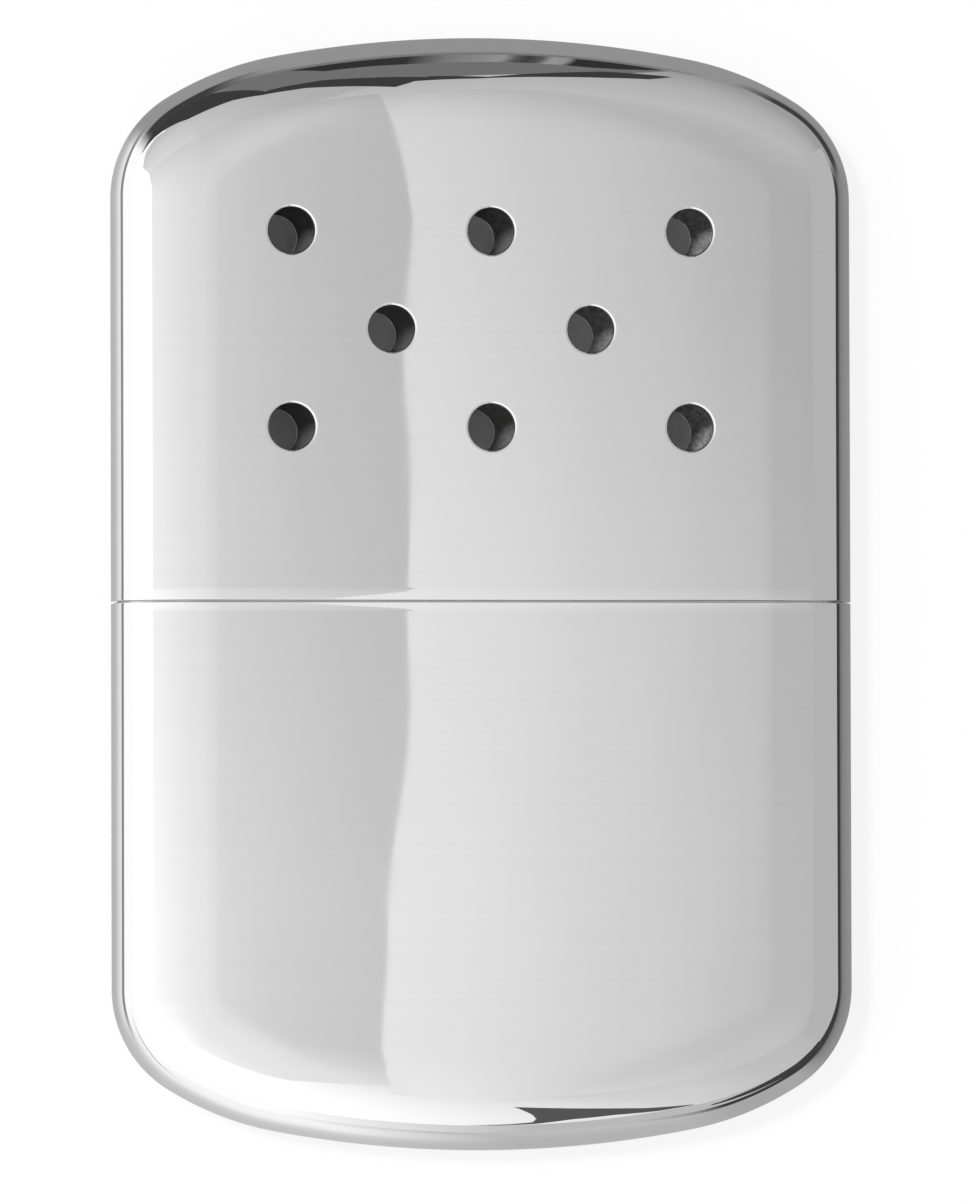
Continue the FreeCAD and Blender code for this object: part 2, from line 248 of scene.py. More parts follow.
def neck_brass():
    colours = (0.78, 0.58, 0.27, 1), (0.56, 0.37, 0.16, 1)
    return metal("neck_brass", (260, 5, 0.6), 0.35, 0.7, colours, (0.22, 0.42), (4000, 400, 4000))


def gauze_steel():
    """Stainless wire, tinted straw and blue by the burner's heat."""
    return metal("gauze_steel", (170, 3), 0.35, 0.65, ((0.62, 0.56, 0.47, 1), (0.44, 0.43, 0.46, 1)), (0.25, 0.4))


def soft_solder():
    nodes = material_nodes("soft_solder")
    lumps = nodes.noise(1100, 2)
    colour = nodes.mix(lumps, 0.3, 0.7, grey(0.47), grey(0.62))
    roughness = nodes.ramp(lumps, 0.3, 0.7, 0.28, 0.5)
    return nodes.principled(colour, roughness, nodes.bump(lumps, 0.12 * MM, 0.6), metallic=1.0)


def fibres(name, dark, pale, scale, depth):
    """Matted fibre: fine tangled strands over soft clumps."""
    nodes = material_nodes(name)
    strands, clumps = nodes.noise(scale, 6, roughness=0.75, distortion=2.5), nodes.noise(scale / 9, 3)
    normal = nodes.bump(strands, depth, 0.8, nodes.bump(clumps, 6 * depth, 0.5))
    colour = nodes.mix(strands, 0.32, 0.62, dark, pale)
    return nodes.principled(colour, nodes.ramp(clumps, 0.3, 0.7, 0.85, 1.0), normal, sheen=0.35)


def glass_cloth():
    """Plain-woven glass yarn with painted shade in the low places of the weave, greyed by the catalyst it carries."""
    nodes = material_nodes("glass_cloth")
    place = nodes.add("SeparateXYZ", {"Vector": nodes.add("UVMap", {})[0]})
    phases = [nodes.math("MULTIPLY", place[axis], math.pi / YARN_PITCH) for axis in ("X", "Y")]
    height = nodes.math("ABSOLUTE", nodes.math("MULTIPLY", *(nodes.math("SINE", phase) for phase in phases)))
    soot = nodes.noise(420, 4, roughness=0.6)
    # Painted shade: darker in the low places of the weave, between the yarns.
    bare_tone = nodes.mix(height, 0.0, 0.7, grey(0.28), grey(0.66))
    colour = nodes.mix(soot, 0.42, 0.68, bare_tone, (0.13, 0.125, 0.12, 1))
    normal = nodes.bump(height, 0.16 * MM, 0.9, nodes.bump(nodes.noise(9000, 3), 0.02 * MM, 0.5))
    return nodes.principled(colour, nodes.ramp(soot, 0.3, 0.7, 0.6, 0.85), normal, sheen=0.2)


# ---- meshes with exact normals
class Skin:
    """Collects points with their exact normals, so that polished surfaces reflect without facets."""

    def __init__(self):
        self.points, self.normals, self.faces, self.finishes = [], [], [], []

    def row(self, samples):
        """Adds (point, normal) samples and returns their indices."""
        first = len(self.points)
        for point, normal in samples:
            self.points.append(Vector(point))
            self.normals.append(Vector(normal).normalized())
        return list(range(first, len(self.points)))

    def face(self, corners, finish=0):
        """Adds a face, turned to the side that its normals point to."""
        corners = list(dict.fromkeys(corners))
        if len(corners) < 3:
            return
        a, b, c = (self.points[index] for index in corners[:3])
        outward = sum((self.normals[index] for index in corners), Vector())
        if (b - a).cross(c - a).dot(outward) < 0:
            corners.reverse()
        self.faces.append(corners)
        self.finishes.append(finish)

    def bands(self, rows, finish=0, closed=True):
        """Joins each row to the next with quads."""
        for low, high in zip(rows, rows[1:]):
            pairs = list(zip(low, high))
            if closed:
                pairs.append(pairs[0])
            for (a, b), (d, c) in zip(pairs, pairs[1:]):
                self.face([a, d, c, b], finish)

    def tube(self, rows):
        """Joins the rows, and the last of them to the first."""
        self.bands(rows + rows[:1])

    def fill(self, border, holes, inner=(), finish=0):
        """Fills a border round holes and through inner points, each given as (index, place on a plan)."""
        loops = [border] + holes
        marks = [mark for loop in loops + [inner] for mark in loop]
        edges, rings, start = [], [], 0
        for loop in loops:
            numbers = list(range(start, start + len(loop)))
            edges += zip(numbers, numbers[1:] + numbers[:1])
            rings.append(set(numbers))
            start += len(loop)
        flat = [place / MM for _, place in marks]
        for triangle in delaunay_2d_cdt(flat, edges, [], 0, 1e-6)[2]:
            if not any(ring.issuperset(triangle) for ring in rings[1:]):
                self.face([marks[number][0] for number in triangle], finish)

    def marks(self, indices, plan="xy"):
        """The points as fill takes them."""
        return [(index, getattr(self.points[index], plan)) for index in indices]

    def piece(self, name, *finishes, turn=LIFT):
        """The mesh as an object, turned into its place."""
        mesh = bpy.data.meshes.new(name)
        mesh.from_pydata([turn @ point for point in self.points], [], self.faces)
        for finish in finishes:
            mesh.materials.append(finish)
        mesh.polygons.foreach_set("material_index", self.finishes)
        mesh.shade_smooth()
        turned = turn.to_3x3()
        mesh.normals_split_custom_set_from_vertices([turned @ normal for normal in self.normals])
        return new_object(name, mesh)


def spread(first, last, step):
    """Numbers from first to last, both included, no further apart than step."""
    count = max(1, math.ceil(abs(last - first) / step))
    return [first + (last - first) * index / count for index in range(count + 1)]


def quarter_turn(steps):
    """(sine, cosine) of angles from 0 to a quarter turn."""
    return [(math.sin(turn), math.cos(turn)) for turn in spread(0, QUARTER, QUARTER / steps)]


def rounded_edge(sheet, outer, outer_steps, inner, inner_steps):
    """(distance back from the edge, depth, share that faces off it, share that faces outward) round a sheet's edge."""
    profile = [(outer * (1 - sine), outer * (1 - cosine), sine, cosine) for sine, cosine in quarter_turn(outer_steps)]
    for sine, cosine in quarter_turn(inner_steps):
        profile.append((inner * (1 - cosine), sheet - inner * (1 - sine), cosine, -sine))
    return profile


def ring_faces(size, total):
    """Quads between successive closed rings of points, size points in each and total in all."""
    faces = []
    for first in range(0, total - size, size):
        for number in range(size):
            a, b = first + number, first + (number + 1) % size
            faces.append((a, b, b + size, a + size))
    return faces


def settle(piece, body):
    """The piece rides on a body and stands for the node that its name begins with."""
    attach(piece, body)
    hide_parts(piece.name.partition(".")[0])


# ---- case
FLAT_XS = spread(FLAT_HALF, -FLAT_HALF, FACE_STEP)[1:-1]


def up_from_rim(rim_y, top_y):
    """Heights from the rim up: close together where the rim leans."""
    return [rim_y + part for part in NEAR_RIM] + spread(rim_y + FACE_STEP, top_y, FACE_STEP)


def heading(angle):
    """Unit vector at an angle from +Y towards +X."""
    return Vector((math.sin(angle), math.cos(angle), 0))


def case_path(rim_y):
    """(point, outward direction) round the case's outline from its right rim over the end to its left rim."""
    crown, shoulder, corner = END_RADII
    reach = HALF_WIDTH - corner - (shoulder - corner) * math.sin(SHOULDER_END)
    shoulder_start = math.asin(reach / (crown - shoulder))
    crown_centre = Y * (END_Y - crown)
    shoulder_centre = crown_centre + heading(shoulder_start) * (crown - shoulder)
    corner_centre = shoulder_centre + heading(SHOULDER_END) * (shoulder - corner)
    right = [(Vector((HALF_WIDTH, y, 0)), X) for y in up_from_rim(rim_y, corner_centre.y)]
    for centre, radius, first, last, step in (
        (corner_centre, corner, QUARTER, SHOULDER_END, 0.05),
        (shoulder_centre, shoulder, SHOULDER_END, shoulder_start, 0.03),
        (crown_centre, crown, shoulder_start, 0, 0.012),
    ):
        right += [(centre + heading(angle) * radius, heading(angle)) for angle in spread(first, last, step)[1:]]
    mirror = Matrix.Diagonal((-1, 1, 1))
    return right + [(mirror @ point, mirror @ out) for point, out in right[-2::-1]]


def side_row(point, out, inset):
    """The rolled side at one place of the outline, from the front face to the back."""
    reach, height = ROLL_DEPTH - inset, MID_Z - inset
    across, upward = ROLL_POWERS
    samples = []
    for step in range(-ROLL_STEPS, ROLL_STEPS + 1):
        side = -1 if step > 0 else 1
        angle = QUARTER * (1 - (1 - abs(step) / ROLL_STEPS) ** ROLL_CROWDING)
        outer, upper = math.cos(angle), math.sin(angle)
        depth = ROLL_DEPTH - reach * outer ** (2 / across)
        rise = side * height * upper ** (2 / upward)
        tilt = side * upward / height * upper ** (2 - 2 / upward)
        samples.append((point - out * depth + Z * rise, out * across / reach * outer ** (2 - 2 / across) + Z * tilt))
    return samples


def rim_row(offset, y, across, along):
    """The case's whole cross-section, moved outward. Its normals point outwards and along +Y by those shares."""
    level = MID_Z + offset
    right = side_row(Vector((HALF_WIDTH, y, 0)), X, -offset)
    back = [(Vector((x, y, -level)), -Z) for x in FLAT_XS]
    left = side_row(Vector((-HALF_WIDTH, y, 0)), -X, -offset)[::-1]
    front = [(Vector((-x, y, level)), Z) for x in FLAT_XS]
    return [(point, normal.normalized() * across + Y * along) for point, normal in right + back + left + front]


def face_points(path, level, vents):
    """A grid of points on the flat of the case, clear of its border and of the vents."""
    borders = [(point - out * (ROLL_DEPTH + FACE_CLEAR), out) for point, out in path]
    for x in spread(-FLAT_HALF, FLAT_HALF, FACE_STEP):
        for y in up_from_rim(path[0][0].y, END_Y)[1:]:
            point = Vector((x, y, 0))
            inside = all((point - place).dot(out) < 0 for place, out in borders)
            if inside and all((point - vent).length > VENT_RADIUS + FACE_CLEAR for vent in vents):
                yield Vector((x, y, level))


def vent_ends(skin, centre, side):
    """Rounded wall of one vent through one face. Returns its outermost and innermost loop."""
    outs = [heading(math.tau * number / VENT_SIDES) for number in range(VENT_SIDES)]
    rows = []
    for back, depth, across, upward in rounded_edge(SHEET, VENT_ROUND, 5, INNER_ROUND, 2):
        lift, tilt = Z * side * (MID_Z - depth), Z * side * upward
        rows.append(skin.row((centre + out * (VENT_RADIUS + back) + lift, tilt - out * across) for out in outs))
    skin.bands(rows)
    return rows[0], rows[-1]


def crown(skin, end_lean=0, rim_y=-END_Y, rim=(0, MM)):
    """Draws the thickness in towards the case's sides, ends and rim, and turns the normals to suit."""
    rim_lean, reach = rim

    def share_at(x, y):
        across, along, near_rim = x / HALF_WIDTH, y / END_Y, max(0, 1 - (y - rim_y) / reach)
        drop = CROWN_ACROSS * across**2 + CROWN_ALONG * along**2 + end_lean * x * along**2
        return 1 - (drop + rim_lean * reach / 2 * near_rim**2) / MID_Z

    nudge = 0.01 * MM
    for index, ((x, y, z), normal) in enumerate(zip(skin.points, skin.normals)):
        share = share_at(x, y)
        upward = normal.z / share
        slope_x = (share_at(x + nudge, y) - share) / nudge
        slope_y = (share_at(x, y + nudge) - share) / nudge
        skin.points[index] = Vector((x, y, z * share))
        skin.normals[index] = Vector((normal.x - z * slope_x * upward, normal.y - z * slope_y * upward, upward))
        skin.normals[index].normalize()


def case_shell(rim_y, rim, end_lean, vents):
    """Drawn shell with rolled sides, a rounded open rim and vents through both faces."""
    skin = Skin()
    vent_loops = {side: [vent_ends(skin, centre, side) for centre in vents] for side in (1, -1)}
    rims = []
    for layer, inset, lip in ((OUTSIDE, 0, RIM_ROUND), (INSIDE, SHEET, INNER_ROUND)):
        facing = 1 - 2 * layer
        path = case_path(rim_y + lip)
        stations = []
        for point, out in path:
            stations.append(skin.row((place, normal * facing) for place, normal in side_row(point, out, inset)))
        skin.bands(stations, layer, closed=False)
        edges = {}
        for side, column in ((1, 0), (-1, -1)):
            upright, level = Z * side * facing, side * (MID_Z - inset)
            edges[side] = skin.row((Vector((x, rim_y + lip, level)), upright) for x in FLAT_XS)
            inner = skin.row((point, upright) for point in face_points(path, level, vents))
            border = [station[column] for station in stations] + edges[side][::-1]
            holes = [skin.marks(loops[layer]) for loops in vent_loops[side]]
            skin.fill(skin.marks(border), holes, skin.marks(inner), layer)
        rims.append(stations[0] + edges[-1] + stations[-1][::-1] + edges[1][::-1])

    rows = [rims[0]]
    for back, depth, across, upward in rounded_edge(SHEET, RIM_ROUND, 4, INNER_ROUND, 2)[1:-1]:
        rows.append(skin.row(rim_row(-depth, rim_y + back, upward, -across)))
    skin.bands(rows + rims[1:])
    crown(skin, end_lean, rim_y, rim)
    return skin


def make_case():
    finishes = polished_chrome(), dull_inside()
    for name, body, form, turn in (
        ("lid_shell", "lid", (LID_RIM_Y, LID_RIM, END_LEAN, VENTS), LIFT),
        ("tank_shell", "tank", (-TANK_RIM_Y, TANK_RIM, -END_LEAN, []), LIFT @ Matrix.Rotation(math.pi, 4, "Z")),
    ):
        settle(case_shell(*form).piece(name + ".drawn", *finishes, turn=turn), body)


# ---- parts inside, round one obround spine
SPINE_HALF = 7.4 * MM  # half the straight run that the neck, skirt, hood and gauzes share
SPINE_STEP = 1.5 * MM
YARN_PITCH = 0.55 * MM
WIRE_PITCH = 0.62 * MM
WIRE_RADIUS = 0.085 * MM
CUP_INSET = 0.6 * MM
CUP_SHEET = 0.45 * MM
CUP_BRIM = 1.6 * MM  # how far in the cup's wall gives way to its flat floor
NECK_HALF = 4.1 * MM
NECK_SHEET = 0.5 * MM
NECK_FLANGE = 1.2 * MM
NECK_HOLE = NECK_HALF + 0.05 * MM
SKIRT_HALF = 4.6 * MM
SHELF_WIDTH = 1.3 * MM
HOOD_HALF = 5.03 * MM
HOOD_SHEET = 0.4 * MM
HOOD_BEND = 0.6 * MM
HOOD_LOW_Y, HOOD_TOP_Y = heights("burner_hood")
HOOD_ARC = math.pi * HOOD_HALF  # round each end of the hood
HOOD_RUN = 4 * SPINE_HALF + 2 * HOOD_ARC  # all round it
CUT_ROUND = 0.06 * MM  # broken edges of the sheet at cuts
CUT_STEPS = 3
CUT_STEP = 0.5 * MM  # between the points along a cut
SLOT_HALF = 1 * MM
SLOT_PITCH = 3.1 * MM
SLOT_MIDDLE_Y, SLOT_HALF_HEIGHT, SLOT_CORNER = 7.8 * MM, 2.3 * MM, 0.5 * MM
WINDOW_X = 5.565 * MM
WINDOW_HALF_LENGTH = 4.465 * MM
WINDOW_HALF_WIDTH = 2.63 * MM
SEAM_RUN = 1.5 * SLOT_PITCH  # where the hood's wall is cut to be worked out flat
WALL_STEPS = (0.75 * MM, 1.1 * MM)  # of the mesh round the hood's wall and up it
WALL_CLEAR = 0.35 * MM


def ring_place(run):
    """(point on the spine, outward direction) at a run round the hood, from the middle of its front."""
    lap, run = divmod(run % HOOD_RUN, HOOD_RUN / 2)
    side = 1 - 2 * lap
    turn = min(max(run - SPINE_HALF, 0), HOOD_ARC) / HOOD_HALF
    spot = X * min(run, SPINE_HALF, HOOD_RUN / 2 - run)
    return spot * side, Vector((math.sin(turn), 0, math.cos(turn))) * side


STATIONS = spread(0, SPINE_HALF, SPINE_STEP)  # runs round the hood, closer together where it turns
STATIONS += [SPINE_HALF + part for part in spread(0, HOOD_ARC, HOOD_ARC / 28)[1:]]
STATIONS += [STATIONS[-1] + part for part in spread(0, SPINE_HALF, SPINE_STEP)[1:]]
STATIONS += [STATIONS[-1] + run for run in STATIONS[1:-1]]
SPOTS = [ring_place(run) for run in STATIONS]


def obround_row(skin, radius, y, across, along, spots=SPOTS):
    """A row of points round the spine, whose normals point outwards and along +Y by those shares."""
    return skin.row((spot + out * radius + Y * y, out * across + Y * along) for spot, out in spots)


def section(corners, closed=True):
    """(radius, height, outward share, share along Y) along a section drawn anticlockwise.

    Corners are (radius, height, rounding in mm)."""
    samples = []
    places = [Vector(corner[:2]) for corner in corners]
    before, after = places[-1:] + places, places + places[:1]
    if not closed:
        before[0], after[-1] = places[0] * 2 - places[1], places[-1] * 2 - places[-2]
    for (radius, height, rounding), here, behind, ahead in zip(corners, places, before, after[1:]):
        first, last = (here - behind).normalized(), (ahead - here).normalized()
        turn = math.atan2(first.x * last.y - first.y * last.x, first.dot(last))
        if abs(turn) < 0.01:
            samples.append((radius, height, first.y, -first.x))
            continue
        bend = math.copysign(rounding * MM, turn)
        out = Vector((first.y, -first.x))
        centre = here - first * bend * math.tan(turn / 2) - out * bend
        for part in spread(0, turn, QUARTER / 4):
            turned = Matrix.Rotation(part, 2) @ out
            samples.append((*(centre + turned * bend), *turned))
    return samples


def obround_piece(name, corners, finish):
    """A part of one section all round the spine."""
    skin = Skin()
    skin.tube([obround_row(skin, *sample) for sample in section(corners)])
    return skin.piece(name, finish)


def hood_window(middle_x):
    """(place, outward direction) round a window on the roof's plan of X and Z."""
    run = WINDOW_HALF_LENGTH - WINDOW_HALF_WIDTH
    loop = [(Vector((x, WINDOW_HALF_WIDTH)), Vector((0, 1))) for x in spread(-run, run, CUT_STEP)]
    for turn in spread(0, math.pi, CUT_STEP / WINDOW_HALF_WIDTH)[1:-1]:
        out = heading(turn).xy
        loop.append((Vector((run, 0)) + out * WINDOW_HALF_WIDTH, out))
    loop += [(-place, -out) for place, out in loop]
    return [(place + Vector((middle_x, 0)), out) for place, out in loop]


def bent_rectangle(centre, half_width, half_height, corner):
    """(place, outward direction) round a rectangle with rounded corners."""
    loop = []
    for sign_x, sign_y, quarter in ((1, 1, 0), (-1, 1, 1), (-1, -1, 2), (1, -1, 3)):
        inner = centre + Vector((sign_x * (half_width - corner), sign_y * (half_height - corner)))
        for part in spread(0, QUARTER, QUARTER / 4):
            out = Vector((math.cos(quarter * QUARTER + part), math.sin(quarter * QUARTER + part)))
            loop.append((inner + out * corner, out))
        length = 2 * ((half_width if sign_x * sign_y > 0 else half_height) - corner)
        start = loop[-1][0]
        ahead = Vector((-out.y, out.x))
        loop += [(start + ahead * part, out) for part in spread(0, length, CUT_STEP)[1:-1]]
    return loop


def cut_edge(skin, loop, lift):
    """Rounded edge of a hole through the hood, put in space by lift. Returns its outermost and innermost loop."""
    rows, ends = [], []
    for back, depth, across, upward in rounded_edge(HOOD_SHEET, CUT_ROUND, CUT_STEPS, CUT_ROUND, CUT_STEPS):
        places = [place + out * back for place, out in loop]
        rows.append(skin.row(lift(place, depth, -out * across, upward) for place, (_, out) in zip(places, loop)))
        ends.append(list(zip(rows[-1], places)))
    skin.bands(rows)
    return ends[0], ends[-1]


def clear_of(loops, place):
    """Whether a place on the plan is well outside each loop."""
    for loop in loops:
        nearest, out = min(loop, key=lambda mark: (mark[0] - place).length)
        if (place - nearest).length < WALL_CLEAR or (place - nearest).dot(out) < 0:
            return False
    return True


def wall_lift(place, depth, tilt, upward):
    """Point and normal on the hood's wall, at a run round it and a height, under its outer skin by a depth."""
    spot, out = ring_place(place.x)
    sideways = Vector((out.z, 0, -out.x))
    return spot + out * (HOOD_HALF - depth) + Y * place.y, out * upward + sideways * tilt.x + Y * tilt.y


def roof_lift(place, depth, tilt, upward):
    """Point and normal on the hood's roof."""
    return Vector((place.x, HOOD_TOP_Y - depth, place.y)), Vector((tilt.x, upward, tilt.y))


def hood_slots():
    """(place, outward direction) loops of the slots on the unrolled wall."""
    end_run = SPINE_HALF + HOOD_ARC / 2
    rows = [start + number * SLOT_PITCH for start in (0, HOOD_RUN / 2) for number in range(-2, 3)]
    runs = [SEAM_RUN + (run - SEAM_RUN) % HOOD_RUN for run in [end_run, -end_run] + rows]
    return [bent_rectangle(Vector((run, SLOT_MIDDLE_Y)), SLOT_HALF, SLOT_HALF_HEIGHT, SLOT_CORNER) for run in runs]


def burner_hood():
    """Pierced hood: its wall is worked out flat and wrapped round the spine."""
    skin = Skin()
    slots = hood_slots()
    slot_ends = [cut_edge(skin, loop, wall_lift) for loop in slots]
    window_ends = [cut_edge(skin, hood_window(x), roof_lift) for x in (-WINDOW_X, WINDOW_X)]
    runs = [SEAM_RUN + run for run in sorted([0] + [(mark - SEAM_RUN) % HOOD_RUN for mark in STATIONS])]
    spots = [ring_place(run) for run in runs]
    runs.append(SEAM_RUN + HOOD_RUN)
    foot_y = HOOD_LOW_Y + CUT_ROUND

    feet = []
    for layer, inset in ((OUTSIDE, 0), (INSIDE, HOOD_SHEET)):
        facing = 1 - 2 * layer
        radius, bend = HOOD_HALF - inset, HOOD_BEND - inset
        eave_y = HOOD_TOP_Y - inset - bend
        ends = []
        for y in (foot_y, eave_y):
            row = obround_row(skin, radius, y, facing, 0, spots)
            ends.append([(index, Vector((run, y))) for index, run in zip(row + row[:1], runs)])
            if y == foot_y:
                feet.append(row)
        inner = []
        for run in spread(runs[0], runs[-1], WALL_STEPS[0])[1:-1]:
            for y in spread(foot_y, eave_y, WALL_STEPS[1])[1:-1]:
                place = Vector((run, y))
                if clear_of(slots, place):
                    inner += zip(skin.row([wall_lift(place, inset, Vector((0, 0)), facing)]), [place])
        skin.fill(ends[0] + ends[1][::-1], [loops[layer] for loops in slot_ends], inner)
        rows = [row]
        for sine, cosine in quarter_turn(5)[1:]:
            reach, y = radius - bend * (1 - cosine), eave_y + bend * sine
            rows.append(obround_row(skin, reach, y, facing * cosine, facing * sine, spots))
        skin.bands(rows)
        skin.fill(skin.marks(rows[-1], "xz"), [loops[layer] for loops in window_ends])

    rows = [feet[0]]
    for turn in spread(0, math.pi, QUARTER / CUT_STEPS)[1:-1]:
        sine, cosine = math.sin(turn), math.cos(turn)
        inset = CUT_ROUND * (1 - cosine) if turn <= QUARTER else HOOD_SHEET - CUT_ROUND * (1 + cosine)
        rows.append(obround_row(skin, HOOD_HALF - inset, HOOD_LOW_Y + CUT_ROUND * (1 - sine), cosine, -sine, spots))
    skin.bands(rows + feet[1:])
    return skin


def wire(skin, path, radius, sides):
    """A round wire along a path, closed at its ends."""
    rows = []
    for number, point in enumerate(path):
        ahead = path[min(number + 1, len(path) - 1)] - path[max(number - 1, 0)]
        ahead.normalize()
        side = ahead.cross(Y if abs(ahead.y) < 0.9 else X).normalized()
        over = side.cross(ahead)
        outs = [side * math.cos(turn) + over * math.sin(turn) for turn in (math.tau * k / sides for k in range(sides))]
        rows.append(skin.row((point + out * radius, out) for out in outs))
    skin.bands(rows)
    for row, inward in ((rows[0], path[1] - path[0]), (rows[-1], path[-2] - path[-1])):
        skin.face(skin.row((skin.points[index], -inward) for index in row))


def woven_gauze(y, half):
    """Plain-woven wire cloth cut to the obround, with its cut ends held in a pressed wire edge."""
    skin = Skin()
    hem, height, bend, squeeze = 0.16 * MM, 0.34 * MM, 0.12, 0.98
    edge = half - hem
    for ahead, beside, run, other_run, over in ((X, Z, SPINE_HALF, 0, 0), (Z, X, 0, SPINE_HALF, 1)):
        count = int((other_run + edge) / WIRE_PITCH)
        for number in range(-count, count + 1):
            offset = number * WIRE_PITCH
            reach = run + math.sqrt(edge**2 - max(0, abs(offset) - other_run) ** 2)
            path = []
            for place in spread(-reach, reach, WIRE_PITCH / 4):
                wave = math.cos(math.pi * (place / WIRE_PITCH + (number + over) % 2)) * squeeze
                path.append(ahead * place + beside * offset + Y * (y + WIRE_RADIUS * (2 + wave)))
            wire(skin, path, WIRE_RADIUS, sides=5)
    inner = edge - 0.1 * MM
    corners = [(inner, y, bend), (half, y, bend), (half, y + height, bend), (inner, y + height, bend)]
    skin.tube([obround_row(skin, *sample) for sample in section(corners)])
    return skin


def folded_cloth(low, high, thickness):
    """A strip of cloth folded once round the core, its two edges meeting at the back."""
    centre_y, half_y, half_z = (low.y + high.y) / 2, (high.y - low.y) / 2, (high.z - low.z) / 2
    slack, fold, ripple_height, fray_length = 0.12 * MM, 1.5 * MM, 0.1 * MM, 0.25 * MM
    short_of_hood, short_of_reach = 0.15 * MM, 0.2 * MM
    inset = thickness / 2 + slack
    loop = bent_rectangle(Vector((0, 0)), half_y - inset, half_z - inset, fold)
    back = Vector((0, slack - half_z))
    start = min(range(len(loop)), key=lambda number: (loop[number][0] - back).length)
    loop = loop[start:] + loop[:start]
    course, run = [], 0
    for (a, out), (b, next_out) in zip(loop, loop[1:]):
        for part in (0, 0.5):
            place = a.lerp(b, part)
            run += (place - course[-1][0]).length if course else 0
            course.append((place, out.lerp(next_out, part).normalized(), run))

    points, weave = [], []
    for share in spread(-1, 1, 1 / 24):
        pinch = 1 - 0.04 * abs(share) ** 3
        for side in (1, -1):
            for place, out, run in course[::side]:
                reach = SPINE_HALF + math.sqrt(max(0, half_z**2 - place.y**2)) - short_of_hood
                ripple = noise.noise(Vector((share * 5, run / MM * 0.45, 3))) * ripple_height
                fray = noise.noise(Vector((run / MM * 1.3, share, 9))) * fray_length * abs(share) ** 6
                spot = place * pinch + out * (side * thickness / 2 + ripple)
                points.append((share * (reach - short_of_reach) + fray, centre_y + spot.x, MID_Z + spot.y))
                weave.append((share * reach, run))
    width = 2 * len(course)
    faces = ring_faces(width, len(points))
    for number in range(len(course) - 1):
        across = width - 1 - number
        end = (number, across, across - 1, number + 1)
        faces += [end, [index + len(points) - width for index in reversed(end)]]
    mesh = bpy.data.meshes.new("catalyst_cloth.folded")
    mesh.from_pydata(points, [], faces)
    mesh.update()
    places = mesh.uv_layers.new(name="weave").data
    for corner in mesh.loops:
        places[corner.index].uv = weave[corner.vertex_index]
    mesh.shade_smooth()
    mesh.set_sharp_from_angle(angle=math.radians(50))
    return new_object(mesh.name, mesh), (2 * (SPINE_HALF + half_z), course[-1][2])


def soft_copy(node, voxel, rounds, unevenness, scale):
    """A soft piece worked from its solid: remeshed, its edges slackened and its surface uneven."""
    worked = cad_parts[node].copy()
    worked.data = worked.data.copy()
    bpy.context.scene.collection.objects.link(worked)
    remesh = worked.modifiers.new("remesh", "REMESH")
    remesh.mode = "VOXEL"
    remesh.voxel_size = voxel
    worked.modifiers.new("smooth", "SMOOTH").iterations = rounds
    mesh = bpy.data.meshes.new_from_object(worked.evaluated_get(bpy.context.evaluated_depsgraph_get()))
    bpy.data.objects.remove(worked)
    mesh.name = f"{node}.soft"
    mesh.materials.clear()
    normals = [vertex.normal.copy() for vertex in mesh.vertices]
    for vertex, normal in zip(mesh.vertices, normals):
        broad = noise.noise(vertex.co / scale)
        fine = noise.noise(vertex.co / scale * 3.7 + Vector((5, 1, 2)))
        vertex.co += normal * unevenness * (0.7 * broad + 0.3 * fine - 0.75)
    mesh.shade_smooth()
    return new_object(mesh.name, mesh)


def loose_fibres(low, high, count):
    """Curled strands that stand out of the core, inside the space low to high."""
    skin = Skin()
    chance = random.Random(7)
    radius, steps, step, shortest_step, wander, turn_back = 0.04 * MM, 9, 0.42 * MM, 0.1 * MM, 0.45, 4000
    for _ in range(count):
        point = Vector(chance.uniform(a, b) for a, b in zip(low, high))
        course = Vector(chance.gauss(0, 1) for _ in range(3)).normalized()
        path = [point.copy()]
        for _ in range(steps):
            course = (course + Vector(chance.gauss(0, wander) for _ in range(3))).normalized()
            point = point + course * step
            inside = Vector(min(max(value, a), b) for value, a, b in zip(point, low, high))
            if (inside - point).length > 0:
                course = (course + (inside - point) * turn_back).normalized()
                point = inside
            if (point - path[-1]).length > shortest_step:
                path.append(point.copy())
        if len(path) > 3:
            wire(skin, path, radius, sides=4)
    return skin


